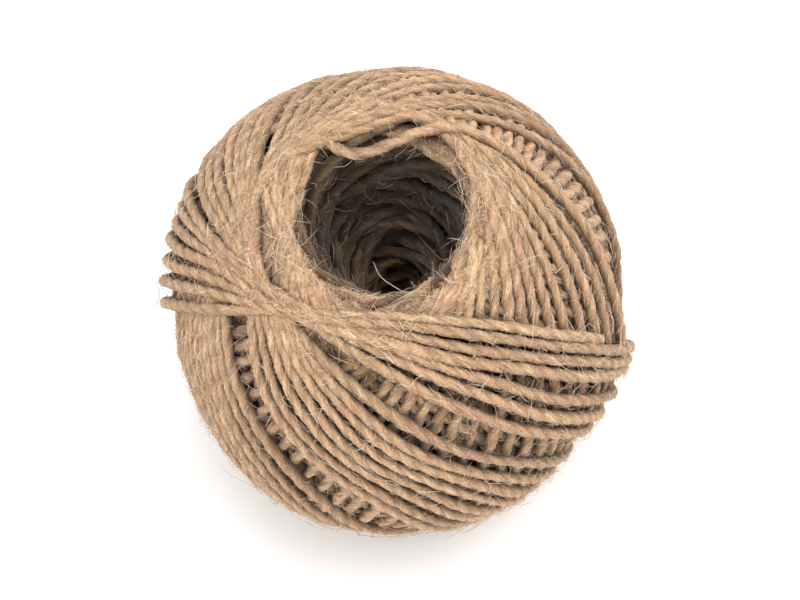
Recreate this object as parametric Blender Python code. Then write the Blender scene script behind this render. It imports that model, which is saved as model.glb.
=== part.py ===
"""A ball of jute twine standing on one end of its winding axis, with the hollow that winding leaves in it."""

import math

import bpy
import numpy as np

MM = 0.001

# Form of the ball, measured from the middle of its winding axis. Both ends are finished alike.
BALL_RADIUS = 40.0 * MM
MOUTH_RADIUS = 14.0 * MM
MOUTH_HEIGHT = 33.0 * MM
NECK_RADIUS = 6.6 * MM
NECK_HEIGHT = 9.0 * MM
RIM_POLAR_DEG = 31.0
RIM_RISE = 2.8 * MM
RIM_REACH = 4.0 * MM
FLAT_CUT = 1.0 * MM
PRESSED_HEIGHT = 2.2 * MM

# Twine and how it is wound
TWINE_DIAMETER = 2.1 * MM
TURN_TILT_DEG = 62.0
NEWEST_TANGENT_DEG = 263.0
BAND_RELIEF = 0.8 * MM
GAP_DEPTH = 1.1 * MM
LAP_HEIGHT = 0.8 * TWINE_DIAMETER
EDGE_SLOPE_DEG = 9.0
MERGED_POLAR_DEG = 30.0
PARTED_POLAR_DEG = 46.0
HOLLOW_RELIEF = 0.7 * MM
HOLLOW_RIDGE_PITCH = 2.0 * TWINE_DIAMETER
HOLLOW_RIDGE_STARTS = 3

# Where along the way from the middle, as shares of the ball's radius, the outside relief starts and is whole
RELIEF_FROM = 0.90
RELIEF_WHOLE = 0.97

# Where below the mouth's radius the ridges in the hollow start and are whole
HOLLOW_RELIEF_FROM = -0.5 * MM
HOLLOW_RELIEF_WHOLE = 1.0 * MM

# Bands of turns from the newest back, in degrees round the hollow. The gap lies behind each band.
BANDS = (
    {"span_deg": 10.6, "ridges": 1, "gap_deg": 11.0},
    {"span_deg": 10.9, "ridges": 1, "gap_deg": 15.0},
    {"span_deg": 36.0, "ridges": 3, "gap_deg": 20.0},
    {"span_deg": 51.5, "ridges": 4, "gap_deg": 35.0},
    {"span_deg": 75.0, "ridges": 5, "gap_deg": 7.0},
    {"span_deg": 82.0, "ridges": 5, "gap_deg": 6.0},
)

# Where hand and table have pushed the ball out of round: direction, width and rise of each place
LUMPS = (
    {"azimuth_deg": 198.0, "polar_deg": 99.0, "spread_deg": 26.0, "rise": -1.3 * MM},
    {"azimuth_deg": 138.0, "polar_deg": 72.0, "spread_deg": 30.0, "rise": 0.8 * MM},
    {"azimuth_deg": 322.0, "polar_deg": 104.0, "spread_deg": 20.0, "rise": -1.0 * MM},
    {"azimuth_deg": 345.0, "polar_deg": 98.0, "spread_deg": 14.0, "rise": 0.9 * MM},
    {"azimuth_deg": 5.0, "polar_deg": 84.0, "spread_deg": 18.0, "rise": -0.8 * MM},
    {"azimuth_deg": 55.0, "polar_deg": 80.0, "spread_deg": 24.0, "rise": 0.5 * MM},
)

# Mesh: columns round the axis, and rows on each stretch of the profile
COLUMNS = 96
OUTSIDE_ROWS = 22
RIM_ROWS = 5
HOLLOW_ROWS = 8

JUTE = {"colour": (0.52, 0.34, 0.20, 1.0), "roughness": 0.9, "metallic": 0.0}


def clear_scene():
    """Removes every object, so that the part starts from an empty scene."""
    for old in list(bpy.data.objects):
        bpy.data.objects.remove(old, do_unlink=True)


def bezier(start, first, second, end, share):
    """Points of a cubic curve in the profile's plane, at shares of its length from 0 to 1."""
    s = share[:, None]
    return (1 - s) ** 3 * start + 3 * s * (1 - s) ** 2 * first + 3 * s**2 * (1 - s) * second + s**3 * end


def upper_profile():
    """The closed profile's upper half as (radius, height): out of the neck, over the rim, to the equator."""
    rise = np.linspace(0.0, 1.0, HOLLOW_ROWS, endpoint=False)
    shaft = np.array([[NECK_RADIUS, 0.0], [NECK_RADIUS, NECK_HEIGHT * 0.5]])
    wall = np.stack(
        [
            NECK_RADIUS + (MOUTH_RADIUS - NECK_RADIUS) * np.sin(rise * math.pi / 2),
            NECK_HEIGHT + (MOUTH_HEIGHT - NECK_HEIGHT) * rise,
        ],
        axis=1,
    )
    polar = math.radians(RIM_POLAR_DEG)
    mouth = np.array([MOUTH_RADIUS, MOUTH_HEIGHT])
    crown = BALL_RADIUS * np.array([math.sin(polar), math.cos(polar)])
    along = np.array([math.cos(polar), -math.sin(polar)])
    share = np.linspace(0.0, 1.0, RIM_ROWS, endpoint=False)
    rim = bezier(mouth, mouth + [0.0, RIM_RISE], crown - along * RIM_REACH, crown, share)
    angle = np.linspace(polar, math.pi / 2, OUTSIDE_ROWS // 2 + 1)
    outside = BALL_RADIUS * np.stack([np.sin(angle), np.cos(angle)], axis=1)
    return np.concatenate([shaft, wall, rim, outside])


def closed_profile():
    """The whole profile: the upper half, and its mirror image in the equator's plane, with no point twice."""
    upper = upper_profile()
    lower = upper[-2:0:-1] * [1.0, -1.0]
    return np.concatenate([upper, lower])


def ages_of(polar, azimuth):
    """How far back, in degrees of the winding's turn round the axis, the turn that shows at each place was laid.

    A turn is a great circle whose pole leans by the tilt, so two of them cross at each place, and the later
    one shows.
    """
    lean = -1.0 / (math.tan(math.radians(TURN_TILT_DEG)) * np.tan(polar))
    swing = math.pi - np.arccos(np.clip(lean, -1.0, 1.0))
    newest = math.radians(NEWEST_TANGENT_DEG)
    turn = 2 * math.pi
    ahead = np.mod(newest - (azimuth - swing), turn)
    behind = np.mod(newest - (azimuth + swing), turn)
    return np.degrees(np.minimum(ahead, behind))


def band_height(age):
    """Height of the bands at each age: waves for a band's ridges, and a trough for the gap behind it."""
    height = np.zeros(age.shape)
    start = 0.0
    for band in BANDS:
        end = start + band["span_deg"]
        gap = band["gap_deg"]
        wave = np.cos(2 * math.pi * (age - start) / band["span_deg"] * band["ridges"])
        height -= np.where((age >= start) & (age <= end), BAND_RELIEF * 0.5 * (1.0 + wave), 0.0)
        height -= np.where((age > end) & (age < end + gap), BAND_RELIEF, 0.0)
        height -= GAP_DEPTH * np.exp(-(((age - end - gap / 2) / (gap / 2)) ** 2))
        start = end + gap
    return height


def lap_height(age):
    """The newest turns lie most of a twine's thickness over the oldest, with a short slope between them."""
    fall = LAP_HEIGHT * (0.5 - age / 360.0)
    return fall + LAP_HEIGHT * smooth_step(age, 360.0 - EDGE_SLOPE_DEG, 360.0)


def lump_height(direction):
    """Rise of the pushed places at each unit direction: a bell shape round the middle of each."""
    rise = np.zeros(direction.shape[:-1])
    for lump in LUMPS:
        azimuth, polar = math.radians(lump["azimuth_deg"]), math.radians(lump["polar_deg"])
        middle = [
            math.sin(polar) * math.cos(azimuth),
            math.sin(polar) * math.sin(azimuth),
            math.cos(polar),
        ]
        apart = np.arccos(np.clip(direction @ np.array(middle), -1.0, 1.0))
        rise += lump["rise"] * np.exp(-((apart / math.radians(lump["spread_deg"])) ** 2))
    return rise


def smooth_step(value, low, high):
    """0 below low, 1 above high, and a smooth rise between."""
    share = np.clip((value - low) / (high - low), 0.0, 1.0)
    return share * share * (3 - 2 * share)


def ball_points():
    """The ball's surface as a grid of points, columns round the axis by rows along the closed profile."""
    profile = closed_profile()
    azimuth = np.linspace(0.0, 2 * math.pi, COLUMNS, endpoint=False)[:, None]
    radius = np.repeat(profile[None, :, 0], COLUMNS, axis=0)
    height = np.repeat(profile[None, :, 1], COLUMNS, axis=0)
    around = np.repeat(azimuth, len(profile), axis=1)
    reach = np.hypot(radius, height)
    polar = np.arctan2(radius, height)
    flat = np.sin(polar)
    direction = np.stack([flat * np.cos(around), flat * np.sin(around), np.cos(polar)], axis=-1)

    # Outside, the bands stand out along the line from the middle of the ball.
    outer = smooth_step(reach, RELIEF_FROM * BALL_RADIUS, RELIEF_WHOLE * BALL_RADIUS)
    lowest = profile[:, 1].min() + FLAT_CUT
    free = smooth_step(height, lowest, lowest + PRESSED_HEIGHT)
    from_axis = np.degrees(np.minimum(polar, math.pi - polar))
    parted = smooth_step(from_axis, MERGED_POLAR_DEG, PARTED_POLAR_DEG)
    age = ages_of(polar, around)
    relief = outer * (free * parted * (band_height(age) + lap_height(age)) + lump_height(direction))

    # In the hollow, turns lie round the wall, so the ridges are low screws that stand out towards the axis.
    ridge = np.cos(2 * math.pi * np.abs(height) / HOLLOW_RIDGE_PITCH + HOLLOW_RIDGE_STARTS * around)
    depth = smooth_step(MOUTH_RADIUS - radius, HOLLOW_RELIEF_FROM, HOLLOW_RELIEF_WHOLE)
    inner = depth * smooth_step(np.abs(height), 0.0, NECK_HEIGHT)
    radius_moved = radius - inner * HOLLOW_RELIEF * 0.5 * (1.0 + ridge)

    points = np.stack([radius_moved * np.cos(around), radius_moved * np.sin(around), height], axis=-1)
    points += direction * relief[..., None]
    points[..., 2] = np.maximum(points[..., 2], lowest)
    return points


def stand_on_origin(points):
    """Lifts the points so that the flat foot is at height 0, with the winding axis on the vertical axis."""
    return points - [0.0, 0.0, points[..., 2].min()]


def ring_faces(columns, rows):
    """Four-sided faces of a grid that closes on itself both ways, with their outer sides out."""
    column, row = np.meshgrid(np.arange(columns), np.arange(rows), indexing="ij")
    next_column, next_row = (column + 1) % columns, (row + 1) % rows
    corners = [
        column * rows + row,
        column * rows + next_row,
        next_column * rows + next_row,
        next_column * rows + row,
    ]
    return np.stack(corners, axis=-1).reshape(-1, 4)


def jute_material():
    """Undyed jute: matt, light brown."""
    material = bpy.data.materials.new("jute")
    material.use_nodes = True
    shader = material.node_tree.nodes["Principled BSDF"]
    shader.inputs["Base Color"].default_value = JUTE["colour"]
    shader.inputs["Roughness"].default_value = JUTE["roughness"]
    shader.inputs["Metallic"].default_value = JUTE["metallic"]
    return material


def wound_ball(material):
    """The wound ball as one closed solid: bands outside, a waisted hollow along the axis, a flat foot."""
    points = stand_on_origin(ball_points())
    columns, rows = points.shape[:2]
    mesh = bpy.data.meshes.new("wound_ball")
    mesh.from_pydata(points.reshape(-1, 3).tolist(), [], ring_faces(columns, rows).tolist())
    mesh.update()
    mesh.shade_smooth()
    mesh.materials.append(material)
    ball = bpy.data.objects.new("wound_ball", mesh)
    bpy.context.scene.collection.objects.link(ball)
    return ball


def main():
    clear_scene()
    wound_ball(jute_material())


main()
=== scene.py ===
"""The looks of a ball of jute twine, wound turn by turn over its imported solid.

The twine is one long spiral of nearly great circles. Each turn touches the rim of the hollow at its top and
again at its bottom, and the next turn touches it a few degrees further round. Lengths are in metres and
angles in degrees.
"""

import math

import bpy
import numpy as np
from mathutils import Matrix


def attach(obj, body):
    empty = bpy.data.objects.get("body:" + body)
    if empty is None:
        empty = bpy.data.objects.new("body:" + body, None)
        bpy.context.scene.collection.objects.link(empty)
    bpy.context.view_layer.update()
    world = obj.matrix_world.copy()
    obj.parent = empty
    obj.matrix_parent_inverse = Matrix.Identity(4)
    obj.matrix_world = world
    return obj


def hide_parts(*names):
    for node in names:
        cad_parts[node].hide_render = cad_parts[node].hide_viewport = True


bl_info = {
    "name": "Ball of jute twine",
    "version": (1, 0, 0),
    "blender": (4, 5, 0),
    "location": "View3D > Sidebar > Twine",
    "description": "Winds a ball of two-ply jute twine over its solid, with its hollow and its loose fibres",
    "category": "Object",
}

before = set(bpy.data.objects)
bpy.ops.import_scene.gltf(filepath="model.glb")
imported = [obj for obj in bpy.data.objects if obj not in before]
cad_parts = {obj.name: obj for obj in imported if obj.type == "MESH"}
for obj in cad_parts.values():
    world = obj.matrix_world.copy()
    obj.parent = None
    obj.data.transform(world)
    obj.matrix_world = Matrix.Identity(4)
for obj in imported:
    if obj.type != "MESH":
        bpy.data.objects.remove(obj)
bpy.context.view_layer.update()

MM = 0.001
BODY = "root"
SOLID = "wound_ball"

# The solid's own form: profile of the ball and its hollow, measured from the middle of the winding axis
BALL_RADIUS = 40.0 * MM
MOUTH_RADIUS = 14.0 * MM
MOUTH_HEIGHT = 33.0 * MM
NECK_RADIUS = 6.6 * MM
NECK_HEIGHT = 9.0 * MM
RIM_POLAR = 31.0
RIM_RISE = 2.8 * MM
RIM_REACH = 4.0 * MM
CENTRE_HEIGHT = 34.53 * MM

# How the turns precess: the newest touches the rim at this azimuth, and older ones lie clockwise of it
NEWEST_TANGENT = 263.0
OLDER_ROUND_PITCH = 5.0

# Bands of turns in the newest round, newest first: how far round the axis each reaches, its number of turns
# and the gap behind it. For its first and its last turn: how far from the axis it passes, and in millimetres
# how far it lies off a great circle, bows out halfway down one side, and closes up on the other side.
BAND_COLUMNS = ("span", "turns", "gap", "approach", "offset", "bow", "close")
BANDS = (
    (10.6, 4, 11.0, (23.7, 29.0), (-3.3, -2.9), (0.0, 0.0), (-0.9, 3.9)),
    (10.9, 3, 15.0, (29.2, 31.9), (-1.6, -1.6), (0.0, 0.0), (-0.6, -0.8)),
    (36.0, 8, 20.0, (35.6, 34.0), (0.0, 0.0), (1.8, 5.5), (-1.5, 4.2)),
    (51.5, 10, 35.0, (33.0, 25.0), (-1.0, 0.0), (4.0, 0.0), (-4.2, 0.0)),
    (75.0, 12, 7.0, (28.5, 24.2), (0.0, 0.0), (0.0, 0.0), (0.0, 0.0)),
    (82.0, 15, 6.0, (24.5, 25.5), (0.0, 0.0), (0.0, 0.0), (0.0, 0.0)),
)
STRAYS = ("approach", "offset", "bow", "close")

# How the winder's guide wanders, which neighbouring turns share: waves in a turn, drift from turn to turn,
# and millimetres
WANDER = ((2, 0.21, 0.22), (3, -0.34, 0.20), (5, 0.27, 0.16), (8, -0.5, 0.12), (13, 0.8, 0.07))

# The twine's own waves: how far it strays sideways and up and how much its thickness changes, each with the
# length over which it does
OWN_STRAY = (0.14 * MM, 7.0 * MM)
OWN_RISE = (0.07 * MM, 5.0 * MM)
OWN_GIRTH = (0.055, 4.0 * MM)
SLOW_GIRTH = (0.05, 30.0 * MM)
THINNEST, THICKEST = 0.78, 1.3

# The slack turn is the newest of this band. It stands over its neighbours, and sags into the mouth round one
# winding angle past its tangent. Its rise fades between two such angles, and it hangs free within another.
SLACK_BAND = 4
SLACK_RISE = 1.4 * MM
SLACK_FADE = (10.0, 24.0)
SLACK_PLACE = 12.5
SLACK_SPREAD = 14.5
SLACK_SAG = 9.8 * MM
SLACK_DROP = 1.0 * MM
HANGING = 50.0
HANGING_BEND = 13

# Older turns stand higher at the left of the mouth, where no newer ones press on them: age, spread and rise
SWELL_AGE = 435.0
SWELL_SPREAD = 36.0
SWELL_RISE = 2.1 * MM

# Older turns pass further from the axis beside the slack one, so that a dark hole shows behind it: age,
# spread and the greatest extra angle
NOTCH_AGE = 503.0
NOTCH_SPREAD = 32.0
NOTCH_APPROACH = 5.5

# Arcs of the inner turns that line the hollow: length, distance between levels, how deep their ends dive, how
# far the highest lie back in the wall, and how far below the mouth that ends
HOLLOW_ARC = 22.0 * MM
HOLLOW_PITCH = 1.4 * MM
HOLLOW_DIVE = 2.9 * MM
SET_BACK = 1.2 * MM
SET_BACK_FADE = (1.5 * MM, 7.0 * MM)
GOLDEN = math.pi * (3.0 - math.sqrt(5.0))

# The twine's outer end is tucked under other turns at this share of a turn past the newest tangent
END_SHARE = 0.217
END_DIVE = 4.5 * MM
END_SLOPE = 0.045

# Where hand and table have pushed the ball out of round: azimuth, angle from the axis, width and rise
LUMPS = (
    (198.0, 99.0, 26.0, -1.3 * MM),
    (138.0, 72.0, 30.0, 0.8 * MM),
    (322.0, 104.0, 20.0, -1.0 * MM),
    (345.0, 98.0, 14.0, 0.9 * MM),
    (5.0, 84.0, 18.0, -0.8 * MM),
    (55.0, 80.0, 24.0, 0.5 * MM),
)


def linear(hex_colour):
    """An sRGB hex colour as linear red, green, blue and alpha."""
    parts = [int(hex_colour[i : i + 2], 16) / 255 for i in (1, 3, 5)]
    return tuple(c / 12.92 if c <= 0.04045 else ((c + 0.055) / 1.055) ** 2.4 for c in parts) + (1.0,)


# Curves and noise


def smooth_noise(count, width, rng):
    """Random values of spread 1 that change over about width samples: white noise averaged under a bell."""
    reach = int(3 * width)
    bell = np.exp(-0.5 * (np.arange(-reach, reach + 1) / width) ** 2)
    raw = rng.normal(size=count + 2 * reach)
    return np.convolve(raw, bell / np.sqrt((bell**2).sum()), mode="valid")


def smooth_step(value, low, high):
    """0 below low, 1 above high, and a smooth rise between."""
    share = np.clip((value - low) / (high - low), 0.0, 1.0)
    return share * share * (3 - 2 * share)


def unit(vectors):
    """Each vector divided by its length."""
    return vectors / np.linalg.norm(vectors, axis=-1, keepdims=True)


def sphere_direction(azimuth, polar):
    """Unit vector at an azimuth and an angle from the axis, both in radians."""
    flat = np.sin(polar)
    return np.stack([flat * np.cos(azimuth), flat * np.sin(azimuth), np.cos(polar)], axis=-1)


def lump_height(direction):
    """Rise of the pushed places at each unit direction: a bell shape round the middle of each."""
    height = np.zeros(direction.shape[:-1])
    for azimuth, polar, spread, rise in LUMPS:
        middle = sphere_direction(math.radians(azimuth), math.radians(polar))
        apart = np.arccos(np.clip(direction @ middle, -1.0, 1.0))
        height += rise * np.exp(-((apart / math.radians(spread)) ** 2))
    return height


def upper_profile(step=0.25 * MM):
    """The solid's upper profile as (radius, height), about a step apart: neck, flare, rim, quarter round."""
    shaft = np.array([[NECK_RADIUS, z] for z in np.arange(0.0, NECK_HEIGHT, step)])
    rise = np.arange(0.0, 1.0, step / (MOUTH_HEIGHT - NECK_HEIGHT))
    flare = NECK_RADIUS + (MOUTH_RADIUS - NECK_RADIUS) * np.sin(rise * math.pi / 2)
    wall = np.stack([flare, NECK_HEIGHT + (MOUTH_HEIGHT - NECK_HEIGHT) * rise], axis=1)
    polar = math.radians(RIM_POLAR)
    mouth = np.array([MOUTH_RADIUS, MOUTH_HEIGHT])
    crown = BALL_RADIUS * np.array([math.sin(polar), math.cos(polar)])
    along = np.array([math.cos(polar), -math.sin(polar)])
    first, second = mouth + [0.0, RIM_RISE], crown - along * RIM_REACH
    s = np.linspace(0.0, 1.0, 32, endpoint=False)[:, None]
    rim = (1 - s) ** 3 * mouth + 3 * s * (1 - s) ** 2 * first + 3 * s**2 * (1 - s) * second + s**3 * crown
    angle = np.arange(polar, math.pi / 2, step / BALL_RADIUS)
    outside = BALL_RADIUS * np.stack([np.sin(angle), np.cos(angle)], axis=1)
    return np.concatenate([shaft, wall, rim, outside])


def closed_profile():
    """The whole profile, with the lower half as the mirror image of the upper, and its outward normals."""
    upper = upper_profile()
    curve = np.concatenate([upper, upper[:0:-1] * [1.0, -1.0]])
    along = np.roll(curve, -1, axis=0) - np.roll(curve, 1, axis=0)
    return curve, unit(np.stack([-along[:, 1], along[:, 0]], axis=1))


def reach_at(depth):
    """Angle from the axis, and distance from the middle, along the upper profile moved inwards by a depth."""
    curve, normal = closed_profile()
    moved = curve - normal * depth
    outer = moved[: len(upper_profile())]
    polar, reach = np.arctan2(outer[:, 0], outer[:, 1]), np.hypot(outer[:, 0], outer[:, 1])
    start = len(outer) - 1 - np.argmin(polar[::-1][: np.argmax(reach[::-1] < 0.85 * BALL_RADIUS)])
    return polar[start:], reach[start:]


# Settings


class WindingSettings(bpy.types.PropertyGroup):
    """Sizes of the twine and of its winding."""

    twine: bpy.props.FloatProperty(
        name="Twine diameter", description="Thickness of the twine", default=2.1 * MM, unit="LENGTH"
    )
    lay: bpy.props.FloatProperty(
        name="Lay", description="Length in which the two plies turn once", default=8.0 * MM, unit="LENGTH"
    )
    lap: bpy.props.FloatProperty(
        name="Lap", description="Height gained in one round of turns", default=3.0 * MM, unit="LENGTH"
    )
    approach: bpy.props.FloatProperty(
        name="Approach",
        description="Angle from the axis at which a turn touches the rim",
        default=math.radians(25.8),
        subtype="ANGLE",
    )
    step: bpy.props.FloatProperty(
        name="Step", description="Distance between rings along the twine", default=0.95 * MM, unit="LENGTH"
    )
    sides: bpy.props.IntProperty(name="Sides", description="Points round the twine", default=10, min=6)
    seed: bpy.props.IntProperty(name="Seed", description="Start of the random draws", default=7)


class FibreSettings(bpy.types.PropertyGroup):
    """Sizes and numbers of the fibres that stand out of the twine."""

    fuzz_count: bpy.props.IntProperty(name="Fuzz", description="Number of the shortest fibres", default=24000)
    short_count: bpy.props.IntProperty(name="Short", description="Number of short fibres", default=9500)
    long_count: bpy.props.IntProperty(name="Long", description="Number of long stray fibres", default=480)
    hollow_count: bpy.props.IntProperty(
        name="Hollow", description="Number of fibres in the hollow", default=1500
    )
    thickness: bpy.props.FloatProperty(
        # Drawn about twice as thick as a real jute fibre, so that single ones still show
        name="Thickness",
        description="Thickness of a fibre at its root",
        default=0.09 * MM,
        unit="LENGTH",
    )


class ColourSettings(bpy.types.PropertyGroup):
    """Colours of undyed jute."""

    light: bpy.props.FloatVectorProperty(
        name="Light", description="Pale, shining fibres", subtype="COLOR", size=4, default=linear("#dcc2a0")
    )
    middle: bpy.props.FloatVectorProperty(
        name="Middle", description="Most of the twine", subtype="COLOR", size=4, default=linear("#c09b78")
    )
    dark: bpy.props.FloatVectorProperty(
        name="Dark", description="Coarse brown fibres", subtype="COLOR", size=4, default=linear("#7d614a")
    )
    red: bpy.props.FloatVectorProperty(
        name="Red", description="Reddish lengths", subtype="COLOR", size=4, default=linear("#bd8b76")
    )
    fibre: bpy.props.FloatVectorProperty(
        name="Fibre", description="Single fibres", subtype="COLOR", size=4, default=linear("#e2d0b4")
    )


class StageSettings(bpy.types.PropertyGroup):
    """The camera and the floor."""

    elevation: bpy.props.FloatProperty(
        name="Elevation",
        description="Camera's angle over the floor",
        default=math.radians(64.5),
        subtype="ANGLE",
    )
    azimuth: bpy.props.FloatProperty(
        name="Azimuth", description="Camera's way round the ball", default=math.radians(6.0), subtype="ANGLE"
    )
    roll: bpy.props.FloatProperty(
        name="Roll", description="Camera's roll", default=math.radians(-7.0), subtype="ANGLE"
    )
    distance: bpy.props.FloatProperty(
        name="Distance", description="Camera to the middle of the ball", default=0.75, unit="LENGTH"
    )
    scale: bpy.props.FloatProperty(
        name="Scale", description="Image widths for each metre at the ball", default=5.86 / 800 / MM
    )
    aside: bpy.props.FloatProperty(
        name="Aside",
        description="How far right of the ball's middle the camera looks",
        default=3.0 / 5.86 * MM,
        unit="LENGTH",
    )
    above: bpy.props.FloatProperty(
        name="Above",
        description="How far above the ball's middle the camera looks",
        default=2.0 / 5.86 * MM,
        unit="LENGTH",
    )


# The winding


def turn_table(rng, approach):
    """One row for each turn, oldest first: its age, how it strays from a great circle, and its lift."""
    table = {key: [] for key in ("age", "slack", *STRAYS)}
    start = 0.0
    for number, row in enumerate(BANDS):
        band = dict(zip(BAND_COLUMNS, row))
        share = np.arange(band["turns"]) / (band["turns"] - 1)
        table["age"].extend(start + band["span"] * share)
        for key in STRAYS:
            first, last = band[key]
            table[key].extend(first + (last - first) * share)
        table["slack"].extend(float(number == SLACK_BAND and turn == 0) for turn in range(band["turns"]))
        start += band["span"] + band["gap"]
    older = np.arange(360.0, 720.0, OLDER_ROUND_PITCH)
    table["age"].extend(older)
    notch = NOTCH_APPROACH * np.exp(-(((older - NOTCH_AGE) / NOTCH_SPREAD) ** 2))
    table["approach"].extend(approach + notch + rng.normal(0.0, 0.7, len(older)))
    for key in ("slack", *STRAYS[1:]):
        table[key].extend(np.zeros(len(older)))
    table = {key: np.array(values)[::-1] for key, values in table.items()}
    count = len(table["age"])
    table["approach"] += rng.normal(0.0, 0.3, count)
    table["below"] = approach + rng.normal(0.0, 0.8, count)
    table["lift"] = rng.normal(0.0, 0.12, count)
    return table


def wound_twine(settings):
    """The twine's whole centre line and thickness, as arrays along its length, and where it hangs free.

    At winding angle f the turn's direction is cos f times its top tangent point T plus sin f times the level
    direction B at right angles to T, moved a little along T x B. Its distance from the middle follows the
    profile, plus the lap that grows as the turns get newer, the slack turn's rise and the old turns' swell.
    """
    rng = np.random.default_rng(settings.seed)
    table = turn_table(rng, math.degrees(settings.approach))
    turns = len(table["age"])
    per_turn = int(2 * math.pi * BALL_RADIUS / settings.step)
    place = np.arange(0, int((turns - 1 + END_SHARE) * per_turn)) / per_turn
    along = {key: np.interp(place, np.arange(turns), values) for key, values in table.items()}
    lag = np.minimum(place, turns - 1)
    age = along["age"]
    angle = 2 * math.pi * place
    count = len(place)

    shared = np.zeros(count)
    for waves, drift, size in WANDER:
        shared += size * MM * np.sin(waves * angle + drift * lag + rng.uniform(0, 2 * math.pi))
    own = OWN_STRAY[0] * smooth_noise(count, OWN_STRAY[1] / settings.step, rng)
    round_part = np.mod(angle + math.pi, 2 * math.pi) - math.pi
    past = np.degrees(round_part)
    sag = along["slack"] * np.exp(-(((past - SLACK_PLACE) / SLACK_SPREAD) ** 2))
    top_half = np.cos(angle) > 0.0
    bow = along["bow"] * MM * np.sin(2.0 * angle) ** 2 * top_half
    stray = along["offset"] * MM * np.clip((np.cos(angle) + 0.94) / 0.7, 0.0, 1.0)
    closing = along["close"] * MM * smooth_step(-np.sin(angle), 0.1, 0.8)
    closing *= smooth_step(np.cos(angle), -0.9, 0.0)
    offset = (shared + own + stray - bow + closing + SLACK_SAG * sag) / BALL_RADIUS

    azimuth = np.radians(NEWEST_TANGENT - age)
    upper = 0.5 + 0.5 * np.clip(2.0 * np.cos(angle), -1.0, 1.0)
    top = sphere_direction(azimuth, np.radians(upper * along["approach"] + (1.0 - upper) * along["below"]))
    level = np.stack([-np.sin(azimuth), np.cos(azimuth), np.zeros(count)], axis=1)
    flat = np.cos(angle)[:, None] * top + np.sin(angle)[:, None] * level
    direction = unit(flat * np.sqrt(1 - offset**2)[:, None] + offset[:, None] * np.cross(top, level))

    polar_table, reach_table = reach_at(0.5 * settings.twine)
    polar = np.arccos(np.clip(direction[:, 2], -1.0, 1.0))
    from_axis = np.minimum(polar, math.pi - polar)
    reach = np.interp(from_axis, polar_table, reach_table)
    sunk = np.minimum(age, 360.0) + 0.4 * np.maximum(age - 360.0, 0.0)
    rise = settings.lap * (0.3 - sunk / 360.0) + along["lift"] * MM
    rise += SLACK_RISE * along["slack"] * (1.0 - smooth_step(past, *SLACK_FADE)) * top_half - SLACK_DROP * sag
    swell = np.exp(-(((age - SWELL_AGE) / SWELL_SPREAD) ** 2)) * smooth_step(np.cos(angle), 0.80, 0.96)
    rise += SWELL_RISE * swell
    rise += OWN_RISE[0] * smooth_noise(count, OWN_RISE[1] / settings.step, rng)
    reach = reach + rise + lump_height(direction)
    left = place[-1] - place
    reach = reach - END_DIVE * np.clip(1.0 - left / END_SLOPE, 0.0, 1.0) ** 2
    # Where it hangs free, the twine bends over the rim in a long curve.
    hanging = along["slack"] * top_half * (np.abs(past) < HANGING) > 0.5
    reach = np.where(hanging, np.convolve(reach, np.ones(HANGING_BEND) / HANGING_BEND, mode="same"), reach)
    points = direction * reach[:, None] + [0.0, 0.0, CENTRE_HEIGHT]
    thick = 1.0 + OWN_GIRTH[0] * smooth_noise(count, OWN_GIRTH[1] / settings.step, rng)
    thick += SLOW_GIRTH[0] * smooth_noise(count, SLOW_GIRTH[1] / settings.step, rng)
    thick = np.clip(thick, THINNEST, THICKEST)
    lowest = 0.5 * settings.twine * (1.04 * thick + 0.5 * np.clip(age / 360.0, 0.0, 2.0))
    points[:, 2] = np.maximum(points[:, 2], lowest)
    return {"points": points, "hanging": hanging, "thick": thick}


def wall_radius(height):
    """Radius of the hollow at heights from the middle: a straight neck, and a flare that follows a sine."""
    share = np.clip((np.abs(height) - NECK_HEIGHT) / (MOUTH_HEIGHT - NECK_HEIGHT), 0.0, 1.0)
    return NECK_RADIUS + (MOUTH_RADIUS - NECK_RADIUS) * np.sin(share * math.pi / 2)


def hollow_painted_light(points):
    """Painted shade for the hollow's wall, as the share of brightness its colour keeps: most at the mouths,
    least below them, more at the neck.
    """
    depth = MOUTH_HEIGHT - np.abs(points[:, 2] - CENTRE_HEIGHT)
    near_mouth = 0.31 * (1.0 - smooth_step(depth, 0.5 * MM, 6.0 * MM))
    near_neck = 0.3 * smooth_step(depth, 13.0 * MM, 25.0 * MM)
    return 0.13 + near_mouth + near_neck


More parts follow.
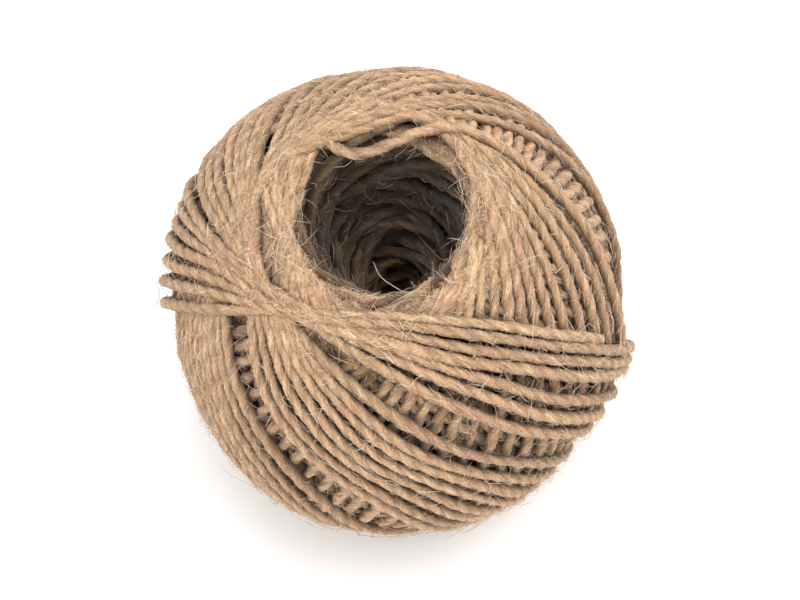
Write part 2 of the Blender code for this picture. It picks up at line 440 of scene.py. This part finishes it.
def hollow_arcs(settings, rng):
    """The inner turns' parts that show in the hollow, as arcs of one row each.

    An arc lies against the wall in its middle, falls slowly as it goes round, and dives into the wall at
    both ends: its distance from the axis is the wall's radius, less the arc's own lift, plus a dive that
    grows with the square of the distance from its middle, so that the arc is straighter than the wall.
    """
    samples = int(HOLLOW_ARC / settings.step)
    share = np.linspace(-1.0, 1.0, samples)
    rows = []
    for half in (1.0, -1.0):
        for level, height in enumerate(np.arange(MOUTH_HEIGHT - 1.6 * MM, 0.4 * MM, -HOLLOW_PITCH)):
            radius = float(wall_radius(height))
            around = max(2, round(2 * math.pi * radius / (0.66 * HOLLOW_ARC)))
            for number in range(around):
                middle = GOLDEN * level + 2 * math.pi * (number + rng.uniform(-0.15, 0.15)) / around
                rows.append((half, height + rng.normal(0.0, 0.3) * MM, radius, middle))
    half, height, radius, middle = (np.array(column)[:, None] for column in zip(*rows))
    count = len(rows)
    reach = 0.5 * HOLLOW_ARC * share[None, :]
    azimuth = middle + np.clip(reach / radius, -1.25, 1.25)
    slope = np.tan(np.radians(rng.normal(15.0, 10.0, (count, 1))))
    level = half * (height - slope * (azimuth - middle) * radius * half)
    level += half * 0.5 * MM * np.sin(2.6 * share[None, :] + rng.uniform(0.0, 6.0, (count, 1)))
    level = np.clip(level, 1.25 * MM - CENTRE_HEIGHT, MOUTH_HEIGHT + 0.4 * MM)
    dive = HOLLOW_DIVE * share[None, :] ** 2
    # Just below the mouth the arcs lie back in the wall, under the turns of the rim.
    set_back = SET_BACK * (1.0 - smooth_step(MOUTH_HEIGHT - height, *SET_BACK_FADE))
    lift = rng.uniform(-0.3, 1.3, (count, 1)) * MM - set_back
    out = wall_radius(level) - lift + dive
    points = np.stack([out * np.cos(azimuth), out * np.sin(azimuth), level + CENTRE_HEIGHT], axis=-1)
    keep = np.ones((count, samples), dtype=bool)
    keep[:, [0, -1]] = False
    return {
        "points": points.reshape(-1, 3),
        "thick": np.repeat(rng.uniform(0.8, 1.15, count), samples),
        "shade": np.repeat(rng.uniform(0.5, 1.2, count), samples),
        "keep": keep.ravel(),
    }


def nearest_on_profile(points):
    """For each point, the number of the profile's nearest point, and the depth below it along its normal."""
    curve, normal = closed_profile()
    flat = np.stack([np.hypot(points[:, 0], points[:, 1]), points[:, 2] - CENTRE_HEIGHT], axis=1)
    found = np.empty(len(flat), dtype=int)
    for start in range(0, len(flat), 4000):
        part = flat[start : start + 4000]
        apart = (part[:, None, 0] - curve[None, :, 0]) ** 2 + (part[:, None, 1] - curve[None, :, 1]) ** 2
        found[start : start + 4000] = apart.argmin(axis=1)
    depth = ((curve[found] - flat) * normal[found]).sum(axis=1)
    return found, depth


def outward_at(points):
    """The profile's outward normal at the place nearest each point, turned to the point's azimuth."""
    found, _ = nearest_on_profile(points)
    _, normal = closed_profile()
    around = np.arctan2(points[:, 1], points[:, 0])
    flat = normal[found]
    return np.stack([flat[:, 0] * np.cos(around), flat[:, 0] * np.sin(around), flat[:, 1]], axis=1)


def twine_frame(points, outward):
    """Forward, sideways and upward directions at each point of a line that lies on a surface."""
    forward = unit(np.gradient(points, axis=0))
    side = unit(np.cross(outward, forward))
    return forward, side, np.cross(forward, side)


# Cells of the maps, how far below the highest a place still shows at the rim and elsewhere, and how far from
# the axis the rim reaches
FINE_CELL = 0.4 * MM
COARSE_CELL = 3.0 * MM
SHOWN_AT_RIM = 0.9 * MM
SHOWN = 0.3 * MM
RIM_END = 28.0


def map_cells(points, cell):
    """Each point's cell on a map of the ball seen from its middle, the number of cells, and its height.

    Rows of cells lie at equal angles from the axis, and each row has as many cells as fit round it. The
    height is measured from the solid's profile, along the line from the middle.
    """
    moved = points - [0.0, 0.0, CENTRE_HEIGHT]
    distance = np.linalg.norm(moved, axis=1)
    polar = np.arccos(moved[:, 2] / distance)
    rows = int(math.pi * BALL_RADIUS / cell)
    middle = (np.arange(rows) + 0.5) * math.pi / rows
    count = np.maximum(6, (2 * math.pi * BALL_RADIUS * np.sin(middle) / cell).astype(int))
    start = np.concatenate([[0], np.cumsum(count)])
    row = np.minimum((polar / math.pi * rows).astype(int), rows - 1)
    share = np.mod(np.arctan2(moved[:, 1], moved[:, 0]) / (2 * math.pi), 1.0)
    column = np.minimum((share * count[row]).astype(int), count[row] - 1)
    height = distance - np.interp(np.minimum(polar, math.pi - polar), *reach_at(0.0))
    return start[row] + column, start[-1], height


def shown_parts(points, side, radius):
    """Which places of the twine show, and how far each one's top lies below the highest near it.

    Each place is stamped across and along the twine into cells with the height of its top, the greatest
    height of each cell is kept, and a place shows where its own top comes within a margin of that. The margin
    is wide at the rim, where the turns are also seen from the hollow.
    """
    ahead = np.roll(points, -1, axis=0) - points
    ahead[-1] = 0.0
    stamps = []
    for step in (0.0, 1 / 3, 2 / 3):
        for share in np.linspace(-0.9, 0.9, 9):
            place = points + side * (radius * share)[:, None] + ahead * step
            cell, cells, height = map_cells(place, FINE_CELL)
            stamps.append((cell, height + radius * math.sqrt(1 - share**2)))
    highest = np.full(cells, -1.0)
    for cell, height in stamps:
        np.maximum.at(highest, cell, height)
    from_axis = np.hypot(points[:, 0], points[:, 1]) / BALL_RADIUS
    margin = np.where(from_axis < math.sin(math.radians(RIM_END)), SHOWN_AT_RIM, SHOWN)
    shown = np.zeros(len(points), dtype=bool)
    for cell, height in stamps[:9]:
        shown |= height > highest[cell] - margin
    cell, cells, height = map_cells(points, COARSE_CELL)
    highest = np.full(cells, -1.0)
    np.maximum.at(highest, cell, height + radius)
    below = highest[cell] - height - radius
    return shown, np.convolve(below, np.ones(5) / 5, mode="same")


def grown(mask, reach):
    """A row of true and false values with each true stretch made longer at both ends."""
    return np.convolve(mask.astype(float), np.ones(2 * reach + 1), mode="same") > 0.5


def run_ends(keep):
    """Where each unbroken stretch of kept places starts and ends, as two rows of true and false values."""
    first = keep & ~np.concatenate([[False], keep[:-1]])
    last = keep & ~np.concatenate([keep[1:], [False]])
    return first, last


def without_crumbs(keep, shortest):
    """Leaves out kept stretches shorter than a number of places."""
    first, last = run_ends(keep)
    starts, ends = np.flatnonzero(first), np.flatnonzero(last)
    kept = keep.copy()
    for start, end in zip(starts, ends):
        if end - start + 1 < shortest:
            kept[start : end + 1] = False
    return kept


# Meshes


def add_piece(name, points, faces, material, attributes=None):
    """A smooth mesh object that rides on the ball, with values for each of its points."""
    mesh = bpy.data.meshes.new(name)
    mesh.from_pydata(points.tolist(), [], faces)
    mesh.shade_smooth()
    for key, values in (attributes or {}).items():
        kind = "FLOAT_VECTOR" if values.ndim == 2 else "FLOAT"
        layer = mesh.attributes.new(key, kind, "POINT")
        layer.data.foreach_set("vector" if values.ndim == 2 else "value", values.astype(np.float32).ravel())
    mesh.materials.append(material)
    piece = bpy.data.objects.new(name, mesh)
    bpy.context.scene.collection.objects.link(piece)
    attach(piece, BODY)
    return piece


# Painted shade: how much darker the twine's colour is made low on its flanks, in the grooves between its
# plies, and where it lies deep, on the rim and further out; and how much its colour changes along it, with
# the length over which it does
FLANK_SHADE = 0.62
GROOVE_SHADE = 0.55
DEEP_SHADE_RIM, DEEP_SHADE = 0.28, 0.62
SLOW_TINT = (0.6, 60 * MM)
QUICK_TINT = (0.4, 9 * MM)


def ply_section(sides):
    """Angles and reaches of two pressed plies: the outline of two circles whose middles lie apart."""
    angle = 2 * math.pi * np.arange(sides) / sides
    apart, ply = 0.17, 0.84
    return angle, apart * np.abs(np.cos(angle)) + np.sqrt(ply**2 - (apart * np.sin(angle)) ** 2)


def twine_tubes(name, line, keep, settings, material):
    """Tubes of two-ply section along the kept stretches of a line. The section turns once in each lay."""
    points, outward = line["points"], line["outward"]
    forward, side, up = twine_frame(points, outward)
    length = np.concatenate([[0.0], np.cumsum(np.linalg.norm(np.diff(points, axis=0), axis=1))])
    section, reach = ply_section(settings.sides)
    first, last = run_ends(keep)
    tip = np.where(first | last, 0.45, 1.0)
    chosen = np.flatnonzero(keep)
    turned = section[None, :] + 2 * math.pi * (length[chosen] / settings.lay + line["twist"][chosen])[:, None]
    out = (0.5 * settings.twine * line["thick"][chosen] * tip[chosen])[:, None] * reach[None, :]
    sideways = np.cos(turned)[..., None] * side[chosen][:, None, :]
    upwards = np.sin(turned)[..., None] * up[chosen][:, None, :]
    ring = points[chosen][:, None, :] + out[..., None] * (sideways + upwards)
    sides = settings.sides
    joined = np.flatnonzero(~last[chosen])
    corner = np.arange(sides)
    beside = (corner + 1) % sides
    here, there = joined[:, None] * sides, (joined[:, None] + 1) * sides
    quads = np.stack([here + corner, here + beside, there + beside, there + corner], axis=-1).reshape(-1, 4)
    starts = np.flatnonzero(first[chosen])[:, None] * sides + corner[::-1]
    ends = np.flatnonzero(last[chosen])[:, None] * sides + corner
    faces = quads.tolist() + starts.tolist() + ends.tolist()
    half = section[None, :] + math.pi * (length[chosen] / settings.lay)[:, None]
    girth = 0.5 * settings.twine
    far = np.repeat(length[chosen][:, None], sides, axis=1)
    grain = np.stack([far, girth * np.cos(half), girth * np.sin(half)], axis=-1)
    tint = np.repeat(line["tint"][chosen][:, None], sides, axis=1)
    # Painted shade: the colour is darkened low on the twine's flanks and in the grooves between its plies
    flank = 1.0 - FLANK_SHADE * (1.0 - smooth_step(np.sin(turned), -0.2, 0.85))
    groove = 1.0 - GROOVE_SHADE * (1.0 - np.abs(np.cos(section))) ** 2
    painted_light_value = flank * groove[None, :] * line["open"][chosen][:, None]
    return add_piece(
        name,
        ring.reshape(-1, 3),
        faces,
        material,
        {"grain": grain.reshape(-1, 3) / MM, "tint": tint.ravel(), "open": painted_light_value.ravel()},
    )


def dressed(line, settings, rng):
    """A line with its outward directions, its twist at the start, and a slowly changing colour along it."""
    count = len(line["points"])
    line["outward"] = outward_at(line["points"])
    line["twist"] = np.zeros(count) + rng.uniform()
    tint = SLOW_TINT[0] * smooth_noise(count, SLOW_TINT[1] / settings.step, rng)
    tint += QUICK_TINT[0] * smooth_noise(count, QUICK_TINT[1] / settings.step, rng)
    line["tint"] = np.clip(0.5 + 0.25 * tint, 0.0, 1.0)
    return line


def fibre_spindles(name, fibres, rings, material):
    """Thin closed spindles, one for each fibre: a point at the root, three-sided rings, a point at the tip.

    At share s of its length a fibre has gone s along its direction, has bowed sideways by a share of s
    squared and a wave, and has sunk by a share of s squared below the straight line, as it bends back to the
    ball. Its height over its root is then pressed smoothly below the greatest rise, as a hyperbolic tangent
    levels off.
    """
    share = np.linspace(0.0, 1.0, rings + 2)[None, :, None]
    length, bow, sink, wave = (fibres[key][:, None, None] for key in ("length", "bow", "sink", "wave"))
    along, side, up = (fibres[key][:, None, :] for key in ("along", "side", "up"))
    sideways = bow * share**2 + wave * np.sin(5.0 * share) * share
    path = fibres["root"][:, None, :] + length * (share * along + sideways * side - sink * share**2 * up)
    path -= [0.0, 0.0, CENTRE_HEIGHT]
    distance = np.linalg.norm(path, axis=-1, keepdims=True)
    over = np.maximum(distance - distance[:, :1], 0.0)
    path *= 1.0 - (over - fibres["rise"] * np.tanh(over / fibres["rise"])) / distance
    path += [0.0, 0.0, CENTRE_HEIGHT]
    path[..., 2] = np.maximum(path[..., 2], 0.12 * MM)
    forward = unit(np.gradient(path, axis=1))
    first = unit(np.cross(forward, side + 0.31 * up))
    second = np.cross(forward, first)
    corner = 2 * math.pi * np.arange(3) / 3
    radius = (0.5 * fibres["thickness"])[:, None, None, None] * (1.15 - 0.5 * share[..., None])
    spokes = np.cos(corner)[:, None] * first[:, :, None, :] + np.sin(corner)[:, None] * second[:, :, None, :]
    ring = (path[:, :, None, :] + radius * spokes)[:, 1:-1]
    count, size = len(path), 3 * rings + 2
    points = np.concatenate([path[:, :1], ring.reshape(count, 3 * rings, 3), path[:, -1:]], axis=1)
    base = np.arange(count)[:, None] * size
    here = np.arange(3)
    beside = (here + 1) % 3
    start = (base + 1 + 3 * np.arange(rings - 1)[None, :]).reshape(-1, 1)
    end = start + 3
    quads = np.stack([start + here, start + beside, end + beside, end + here], axis=-1).reshape(-1, 4)
    roots = np.stack([base + 0 * here, base + 1 + beside, base + 1 + here], axis=-1).reshape(-1, 3)
    last = base + size - 4
    tips = np.stack([last + here, last + beside, last + 3 + 0 * here], axis=-1).reshape(-1, 3)
    faces = quads.tolist() + roots.tolist() + tips.tolist()
    return add_piece(name, points.reshape(-1, 3), faces, material, {"tint": np.repeat(fibres["tint"], size)})


def rooted_fibres(line, chosen, settings, sizes, rng):
    """Fibres that start on the outer side of the twine at chosen places.

    sizes gives the shortest and longest length, the range of lift from the twine's surface, how far a fibre
    may turn from the twine's own direction, in degrees, and the greatest rise over its root.
    """
    count = len(chosen)
    forward, side, up = (values[chosen] for values in twine_frame(line["points"], line["outward"]))
    lean = rng.uniform(-1.2, 1.2, count)[:, None]
    out = np.cos(lean) * up + np.sin(lean) * side
    radius = 0.47 * settings.twine * line["thick"][chosen]
    turn = np.radians(rng.uniform(-sizes["turn"], sizes["turn"], count))[:, None]
    lift = np.radians(rng.uniform(*sizes["lift"], count))[:, None]
    way = rng.choice([-1.0, 1.0], count)[:, None]
    across = np.cross(out, forward)
    flat = way * (np.cos(turn) * forward + np.sin(turn) * across)
    along = np.cos(lift) * flat + np.sin(lift) * out
    shortest, longest = sizes["length"]
    length = shortest + (longest - shortest) * rng.uniform(0.0, 1.0, count) ** 2.2
    return {
        "root": line["points"][chosen] + out * radius[:, None],
        "along": along,
        "side": unit(np.cross(out, along)),
        "up": out,
        "length": length,
        "rise": sizes["rise"],
        "bow": rng.normal(0.0, 0.4, count),
        "sink": np.tan(lift[:, 0]) * rng.uniform(0.7, 1.25, count) + length / (2 * BALL_RADIUS),
        "wave": rng.normal(0.0, 0.14, count),
        "thickness": rng.uniform(0.6, 1.15, count),
        "tint": rng.uniform(0.0, 1.0, count),
    }


WOUND = {}
LINING = {}


def wound_line(settings):
    """The wound twine with all that its pieces and fibres need, worked out once."""
    if not WOUND:
        line = dressed(wound_twine(settings), settings, np.random.default_rng(settings.seed + 1))
        _, side, _ = twine_frame(line["points"], line["outward"])
        radius = 0.5 * settings.twine * line["thick"]
        line["shown"], below = shown_parts(line["points"], side, radius)
        from_axis = np.hypot(line["points"][:, 0], line["points"][:, 1]) / BALL_RADIUS
        # Painted shade: turns that lie deep under their neighbours get a darker colour, less so at the rim
        shade = DEEP_SHADE_RIM + (DEEP_SHADE - DEEP_SHADE_RIM) * smooth_step(from_axis, 0.42, 0.62)
        line["open"] = 1.0 - shade * smooth_step(below, 0.6 * MM, 2.4 * MM)
        line["keep"] = without_crumbs(grown(line["shown"], 4) | line["hanging"], 10)
        WOUND.update(line)
    return WOUND


def lining_line(settings):
    """The arcs that line the hollow with all that their piece and fibres need, worked out once."""
    if not LINING:
        rng = np.random.default_rng(settings.seed + 2)
        line = dressed(hollow_arcs(settings, rng), settings, rng)
        # Painted shade: the lining's colour is darkened below the mouths, less at the neck, and by a random
        # amount for each arc
        line["open"] = line["shade"] * hollow_painted_light(line["points"])
        LINING.update(line)
    return LINING


# Materials


def add_node(tree, kind, settings=None, inputs=None, stops=()):
    """Adds a shader node, and sets its properties, its inputs and, on a ramp, its (place, colour) stops.

    An input given as (node, output) is linked.
    """
    node = tree.nodes.new(kind)
    for key, value in (settings or {}).items():
        setattr(node, key, value)
    for key, value in (inputs or {}).items():
        if isinstance(value, tuple) and isinstance(value[0], bpy.types.Node):
            tree.links.new(value[0].outputs[value[1]], node.inputs[key])
        else:
            node.inputs[key].default_value = value
    for i, (place, colour) in enumerate(stops):
        stop = node.color_ramp.elements[i] if i < 2 else node.color_ramp.elements.new(place)
        stop.position, stop.color = place, colour
    return node


def new_material(name):
    """A material with its output and nothing else."""
    material = bpy.data.materials.new(name)
    material.use_nodes = True
    tree = material.node_tree
    tree.nodes.clear()
    return material, tree


def jute_twine_material(colours):
    """Undyed jute, spun and plied: matt, with coarse fibres of many browns that run along the twine, and
    painted shade darkening its colour where the twine lies low or deep.
    """
    material, tree = new_material("undyed_jute_twine")
    grain = add_node(tree, "ShaderNodeAttribute", {"attribute_name": "grain"})
    tint = add_node(tree, "ShaderNodeAttribute", {"attribute_name": "tint"})
    painted_light_value = add_node(tree, "ShaderNodeAttribute", {"attribute_name": "open"})
    place = add_node(tree, "ShaderNodeTexCoord")
    # Fibre bundles about 0.2 mm across and some millimetres long
    stretched = add_node(
        tree, "ShaderNodeMapping", None, {"Vector": (grain, "Vector"), "Scale": (0.36, 3.0, 3.0)}
    )
    bundles = add_node(
        tree,
        "ShaderNodeTexNoise",
        None,
        {"Vector": (stretched, "Vector"), "Scale": 1.0, "Detail": 6.0, "Roughness": 0.72, "Distortion": 0.8},
    )
    # Blotches some millimetres across, where retting and dirt have coloured the stem
    blotches = add_node(
        tree,
        "ShaderNodeTexNoise",
        None,
        {"Vector": (place, "Object"), "Scale": 160.0, "Detail": 3.0, "Roughness": 0.6},
    )
    ramp = add_node(
        tree,
        "ShaderNodeValToRGB",
        None,
        {"Fac": (bundles, "Fac")},
        [(0.36, colours.dark), (0.62, colours.light), (0.48, colours.middle), (0.55, colours.middle)],
    )
    redness = add_node(
        tree,
        "ShaderNodeMapRange",
        None,
        {"Value": (blotches, "Fac"), "From Min": 0.54, "From Max": 0.74, "To Max": 0.6},
    )
    reddened = add_node(
        tree,
        "ShaderNodeMix",
        {"data_type": "RGBA"},
        {0: (redness, "Result"), 6: (ramp, "Color"), 7: tuple(colours.red)},
    )
    value = add_node(
        tree, "ShaderNodeMapRange", None, {"Value": (tint, "Fac"), "To Min": 0.78, "To Max": 1.18}
    )
    # Painted shade: the colour is darkened on the flanks, in the grooves between the plies and on the turns
    # that lie deeper
    shaded = add_node(
        tree, "ShaderNodeMath", {"operation": "MULTIPLY"}, {0: (value, "Result"), 1: (painted_light_value, "Fac")}
    )
    colour = add_node(
        tree, "ShaderNodeHueSaturation", None, {"Color": (reddened, 2), "Value": (shaded, "Value")}
    )
    bump = add_node(
        tree,
        "ShaderNodeBump",
        None,
        {"Height": (bundles, "Fac"), "Strength": 0.9, "Distance": 0.2 * MM},
    )
    shader = add_node(
        tree,
        "ShaderNodeBsdfPrincipled",
        None,
        {
            "Base Color": (colour, "Color"),
            "Normal": (bump, "Normal"),
            "Roughness": 0.9,
            "Specular IOR Level": 0.15,
            "Sheen Weight": 0.12,
        },
    )
    add_node(tree, "ShaderNodeOutputMaterial", None, {"Surface": (shader, "BSDF")})
    return material


def plain_material(name, colour, roughness):
    """One colour with a given roughness."""
    material, tree = new_material(name)
    shader = add_node(
        tree, "ShaderNodeBsdfPrincipled", None, {"Base Color": tuple(colour), "Roughness": roughness}
    )
    add_node(tree, "ShaderNodeOutputMaterial", None, {"Surface": (shader, "BSDF")})
    return material


# Pieces


def twine_material(context):
    """The twine's material, made once."""
    made = bpy.data.materials.get("undyed_jute_twine")
    return made or jute_twine_material(context.scene.twine_colours)


def fibre_material(context):
    """The loose fibres' material, made once: pale straw, a little shiny, each fibre of its own shade."""
    made = bpy.data.materials.get("single_jute_fibres")
    if made:
        return made
    colours = context.scene.twine_colours
    material, tree = new_material("single_jute_fibres")
    tint = add_node(tree, "ShaderNodeAttribute", {"attribute_name": "tint"})
    ramp = add_node(
        tree,
        "ShaderNodeValToRGB",
        None,
        {"Fac": (tint, "Fac")},
        [(0.0, colours.dark), (0.85, colours.fibre), (0.3, colours.middle)],
    )
    shader = add_node(
        tree,
        "ShaderNodeBsdfPrincipled",
        None,
        {"Base Color": (ramp, "Color"), "Roughness": 0.6, "Sheen Weight": 0.2},
    )
    add_node(tree, "ShaderNodeOutputMaterial", None, {"Surface": (shader, "BSDF")})
    return material


CORE_DEPTH = 1.0 * MM
CORE_DEPTH_OUTSIDE = 4.0 * MM
CORE_COLUMNS = 72
CORE_LOWEST = 1.6 * MM


class TWINE_OT_packed_core(bpy.types.Operator):
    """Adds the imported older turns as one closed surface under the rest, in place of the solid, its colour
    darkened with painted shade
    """

    bl_idname = "twine_ball.packed_core"
    bl_label = "Packed core"

    def execute(self, context):
        """The profile moved inwards, more outside than in the hollow, and turned round the axis."""
        curve, normal = closed_profile()
        reach = np.hypot(curve[:, 0], curve[:, 1])
        outer = np.clip((reach / BALL_RADIUS - 0.80) / 0.16, 0.0, 1.0)
        depth = CORE_DEPTH + (CORE_DEPTH_OUTSIDE - CORE_DEPTH) * outer
        moved = (curve - normal * depth[:, None])[::5]
        rows, columns = len(moved), CORE_COLUMNS
        around = 2 * math.pi * np.arange(columns)[:, None] / columns
        height = np.repeat(moved[None, :, 1] + CENTRE_HEIGHT, columns, axis=0)
        points = np.stack([moved[:, 0] * np.cos(around), moved[:, 0] * np.sin(around), height], axis=-1)
        points[..., 2] = np.maximum(points[..., 2], CORE_LOWEST)
        column, row = np.meshgrid(np.arange(columns), np.arange(rows), indexing="ij")
        next_column, next_row = (column + 1) % columns, (row + 1) % rows
        corners = [(column, row), (column, next_row), (next_column, next_row), (next_column, row)]
        faces = np.stack([first * rows + second for first, second in corners], axis=-1).reshape(-1, 4)
        points = points.reshape(-1, 3)
        # Painted shade: the core is coloured dark, as the older turns lie in shade under the rest
        dark = {"grain": points / MM, "tint": np.full(len(points), 0.4), "open": np.full(len(points), 0.13)}
        core = add_piece("packed_core", points, faces.tolist(), twine_material(context), dark)
        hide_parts(SOLID)
        return {"FINISHED"}


class TWINE_OT_wound_turns(bpy.types.Operator):
    """Adds the turns of twine that show on the outside, oldest first, as a few pieces"""

    bl_idname = "twine_ball.wound_turns"
    bl_label = "Wound turns"

    def execute(self, context):
        """Tubes along the kept stretches, parted so that each piece stays light."""
        settings = context.scene.twine_winding
        line = wound_line(settings)
        most_rings = 180000 // (2 * settings.sides)
        part = (np.cumsum(line["keep"]) // most_rings).astype(int)
        material = twine_material(context)
        for number in range(part.max() + 1):
            keep = line["keep"] & (part == number)
            twine_tubes(f"wound_turns_{number + 1}", line, keep, settings, material)
        return {"FINISHED"}


class TWINE_OT_hollow_lining(bpy.types.Operator):
    """Adds the parts of the inner turns that show on the wall of the hollow"""

    bl_idname = "twine_ball.hollow_lining"
    bl_label = "Hollow lining"

    def execute(self, context):
        """Arcs against the wall, from each mouth to the neck."""
        settings = context.scene.twine_winding
        line = lining_line(settings)
        twine_tubes("hollow_lining", line, line["keep"], settings, twine_material(context))
        return {"FINISHED"}


class TWINE_OT_short_fibres(bpy.types.Operator):
    """Adds the many short fibres that make the twine look hairy"""

    bl_idname = "twine_ball.short_fibres"
    bl_label = "Short fibres"

    def execute(self, context):
        """Fibres rooted at random places of the twine that shows."""
        settings, fibres = context.scene.twine_winding, context.scene.twine_fibres
        rng = np.random.default_rng(settings.seed + 3)
        line = wound_line(settings)
        fuzz = {"length": (0.9 * MM, 3.0 * MM), "lift": (5.0, 60.0), "turn": 80.0, "rise": 1.2 * MM}
        short = {"length": (2.0 * MM, 7.5 * MM), "lift": (4.0, 40.0), "turn": 75.0, "rise": 1.4 * MM}
        for name, count, rings, sizes in (
            ("fuzz", fibres.fuzz_count, 1, fuzz),
            ("short_fibres", fibres.short_count, 3, short),
        ):
            chosen = rng.choice(np.flatnonzero(line["shown"]), count)
            made = rooted_fibres(line, chosen, settings, sizes, rng)
            made["thickness"] = made["thickness"] * fibres.thickness
            fibre_spindles(name, made, rings, fibre_material(context))
        return {"FINISHED"}


class TWINE_OT_stray_fibres(bpy.types.Operator):
    """Adds the long stray fibres, outside and in the hollow"""

    bl_idname = "twine_ball.stray_fibres"
    bl_label = "Stray fibres"

    def execute(self, context):
        """Longer fibres rooted on the outer turns and on the hollow's lining."""
        settings, fibres = context.scene.twine_winding, context.scene.twine_fibres
        rng = np.random.default_rng(settings.seed + 4)
        line, lining = wound_line(settings), lining_line(settings)
        outside = rng.choice(np.flatnonzero(line["shown"]), fibres.long_count)
        inside = rng.choice(np.flatnonzero(lining["keep"]), fibres.hollow_count)
        long_sizes = {"length": (5.0 * MM, 16.0 * MM), "lift": (2.0, 14.0), "turn": 80.0, "rise": 1.8 * MM}
        hollow_sizes = {"length": (1.0 * MM, 7.0 * MM), "lift": (5.0, 40.0), "turn": 85.0, "rise": 20.0 * MM}
        for name, source, chosen, rings, sizes in (
            ("stray_fibres", line, outside, 7, long_sizes),
            ("hollow_fibres", lining, inside, 4, hollow_sizes),
        ):
            made = rooted_fibres(source, chosen, settings, sizes, rng)
            made["thickness"] = made["thickness"] * fibres.thickness
            # Painted shade: the hollow's fibres take the darker colours, as for the shade in the hollow
            if source is lining:
                made["tint"] = 0.35 * made["tint"] ** 2
                made["thickness"] *= 0.8
            fibre_spindles(name, made, rings, fibre_material(context))
        return {"FINISHED"}


class TWINE_OT_stage(bpy.types.Operator):
    """Adds the pale floor, the soft lights and the camera"""

    bl_idname = "twine_ball.stage"
    bl_label = "Stage"

    def execute(self, context):
        """A floor, a pale sky, a large soft light above, a weaker one low in front, and the camera."""
        stage = context.scene.twine_stage
        mesh = bpy.data.meshes.new("floor")
        mesh.from_pydata([(-3, -3, 0), (3, -3, 0), (3, 3, 0), (-3, 3, 0)], [], [(0, 1, 2, 3)])
        # Plain paper, matt, and white enough to melt into the sky round the ball
        mesh.materials.append(plain_material("white_studio_paper", linear("#fbfbfb"), 0.9))
        floor = bpy.data.objects.new("floor", mesh)
        context.scene.collection.objects.link(floor)

        world = bpy.data.worlds.new("pale_sky")
        world.use_nodes = True
        world.node_tree.nodes["Background"].inputs["Color"].default_value = linear("#ffffff")
        world.node_tree.nodes["Background"].inputs["Strength"].default_value = 1.0
        context.scene.world = world

        for name, place, power in (
            ("soft_window", (0.3, 0.2, 1.05), 15.0),
            ("soft_screen", (-0.45, -0.85, 0.4), 6.0),
        ):
            light = bpy.data.lights.new(name, "AREA")
            light.shape, light.size, light.energy = "DISK", 1.4, power
            lamp = bpy.data.objects.new(name, light)
            context.scene.collection.objects.link(lamp)
            lamp.location = place
            lamp.rotation_mode = "QUATERNION"
            lamp.rotation_quaternion = (-lamp.location).to_track_quat("-Z", "Y")

        azimuth, elevation, roll = stage.azimuth, stage.elevation, stage.roll
        back = np.array(
            [
                math.sin(azimuth) * math.cos(elevation),
                -math.cos(azimuth) * math.cos(elevation),
                math.sin(elevation),
            ]
        )
        right = np.array([math.cos(azimuth), math.sin(azimuth), 0.0])
        up = np.cross(back, right)
        turned_right = right * math.cos(roll) + up * math.sin(roll)
        turned_up = np.cross(back, turned_right)
        camera_data = bpy.data.cameras.new("camera")
        camera_data.sensor_width = 36.0
        camera_data.lens = 36.0 * stage.scale * stage.distance
        camera = bpy.data.objects.new("camera", camera_data)
        context.scene.collection.objects.link(camera)
        aside, above = stage.aside, stage.above
        target = np.array([0.0, 0.0, CENTRE_HEIGHT]) + aside * turned_right + above * turned_up
        eye = target + back * stage.distance
        matrix = np.eye(4)
        matrix[:3, 0], matrix[:3, 1], matrix[:3, 2], matrix[:3, 3] = turned_right, turned_up, back, eye
        camera.matrix_world = Matrix(matrix.tolist())
        context.scene.camera = camera
        context.scene.view_settings.view_transform = "Standard"
        return {"FINISHED"}


OPERATORS = (
    TWINE_OT_packed_core,
    TWINE_OT_wound_turns,
    TWINE_OT_hollow_lining,
    TWINE_OT_short_fibres,
    TWINE_OT_stray_fibres,
    TWINE_OT_stage,
)


class TWINE_PT_ball(bpy.types.Panel):
    """Lists the pieces of the ball"""

    bl_idname = "TWINE_PT_ball"
    bl_label = "Ball of twine"
    bl_space_type = "VIEW_3D"
    bl_region_type = "UI"
    bl_category = "Twine"

    def draw(self, context):
        """One button for each operator."""
        for kind in OPERATORS:
            self.layout.operator(kind.bl_idname)


CLASSES = (WindingSettings, FibreSettings, ColourSettings, StageSettings, *OPERATORS, TWINE_PT_ball)


def register():
    """Registers the classes and gives the scene its settings."""
    for kind in CLASSES:
        bpy.utils.register_class(kind)
    bpy.types.Scene.twine_winding = bpy.props.PointerProperty(type=WindingSettings)
    bpy.types.Scene.twine_fibres = bpy.props.PointerProperty(type=FibreSettings)
    bpy.types.Scene.twine_colours = bpy.props.PointerProperty(type=ColourSettings)
    bpy.types.Scene.twine_stage = bpy.props.PointerProperty(type=StageSettings)


def unregister():
    """Takes the settings and the classes away again."""
    for key in ("twine_winding", "twine_fibres", "twine_colours", "twine_stage"):
        delattr(bpy.types.Scene, key)
    for kind in reversed(CLASSES):
        bpy.utils.unregister_class(kind)


def main():
    """Builds every piece in order."""
    register()
    bpy.ops.twine_ball.stage()
    bpy.ops.twine_ball.packed_core()
    bpy.ops.twine_ball.wound_turns()
    bpy.ops.twine_ball.hollow_lining()
    bpy.ops.twine_ball.short_fibres()
    bpy.ops.twine_ball.stray_fibres()


if __name__ == "__main__":
    main()
